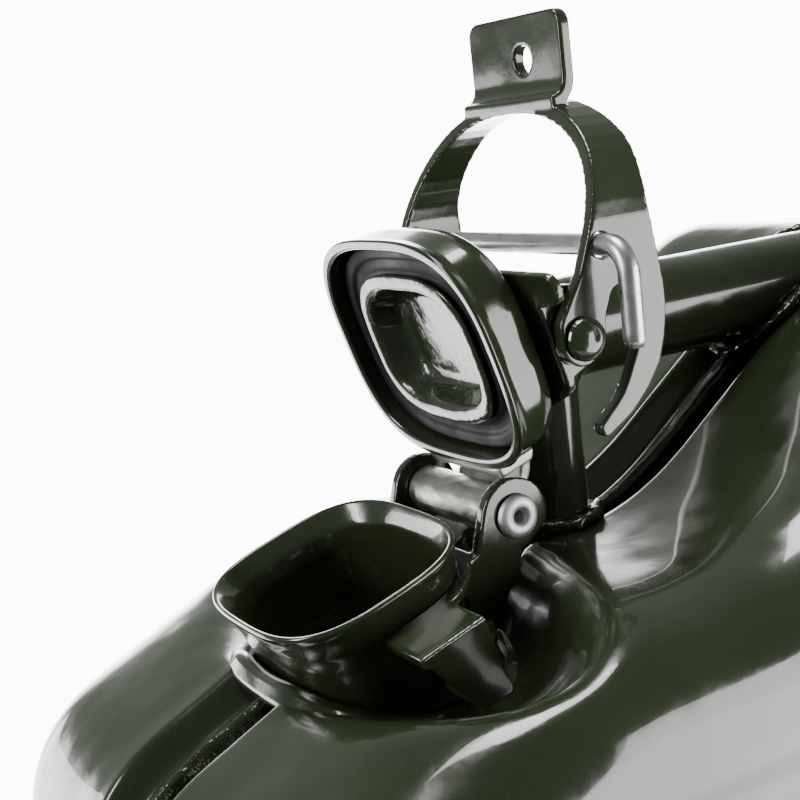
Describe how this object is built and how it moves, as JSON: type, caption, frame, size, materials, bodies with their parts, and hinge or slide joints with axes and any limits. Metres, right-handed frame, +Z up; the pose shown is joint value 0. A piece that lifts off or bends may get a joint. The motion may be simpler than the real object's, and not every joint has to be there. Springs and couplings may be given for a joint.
{
  "type": "jerry can",
  "caption": "Steel fuel can with an oval filler neck, a hinged sealing lid with a forked locking lever and bent locking pin, and a tubular carrying handle.",
  "frame": {"origin": "centre of the bounding box on the surface the can stands on", "axes": "+X from the spout end to the hump end, +Y to the far flat side, +Z up"},
  "size_m": [0.285, 0.1368, 0.397],
  "materials": {
    "paint": "glossy olive green enamel",
    "rubber": "moulded matt black",
    "zinc": "bright zinc plating",
    "steel": "bare pressed steel with thin paint"
  },
  "bodies": {
    "can": {"near_shell": "paint", "far_shell": "paint", "seam_weld": "paint", "filler_neck": "paint", "neck_collar": "paint", "closure_bracket": "paint", "bracket_weld_near": "paint", "bracket_weld_far": "paint", "hinge_pin": "zinc", "handle_tube": "paint", "handle_front_weld": "paint", "handle_rear_weld": "paint"},
    "lid": {"lid_cap": "paint", "lid_gasket": "rubber", "gasket_retainer": "paint", "lid_bracket": "paint", "hinge_strap": "steel", "lever_rivet_near": "paint", "lever_rivet_far": "paint"},
    "lever": {"lever_fork": "paint"},
    "pin": {"locking_pin": "zinc"}
  },
  "joints": [
    {"name": "lid_hinge", "type": "hinge", "parent": "can", "child": "lid", "pos_m": [-0.0565, 0, 0.304], "axis": [0, -1, 0], "range_deg": [0, 90]},
    {"name": "lever_pivot", "type": "hinge", "parent": "lid", "child": "lever", "pos_m": [-0.0488, 0, 0.338], "axis": [0, 1, 0], "range_deg": [-20, 35]},
    {"name": "pin_swing", "type": "hinge", "parent": "lever", "child": "pin", "pos_m": [-0.043, 0, 0.354], "axis": [0, 1, 0], "range_deg": [-100, 100]}
  ]
}
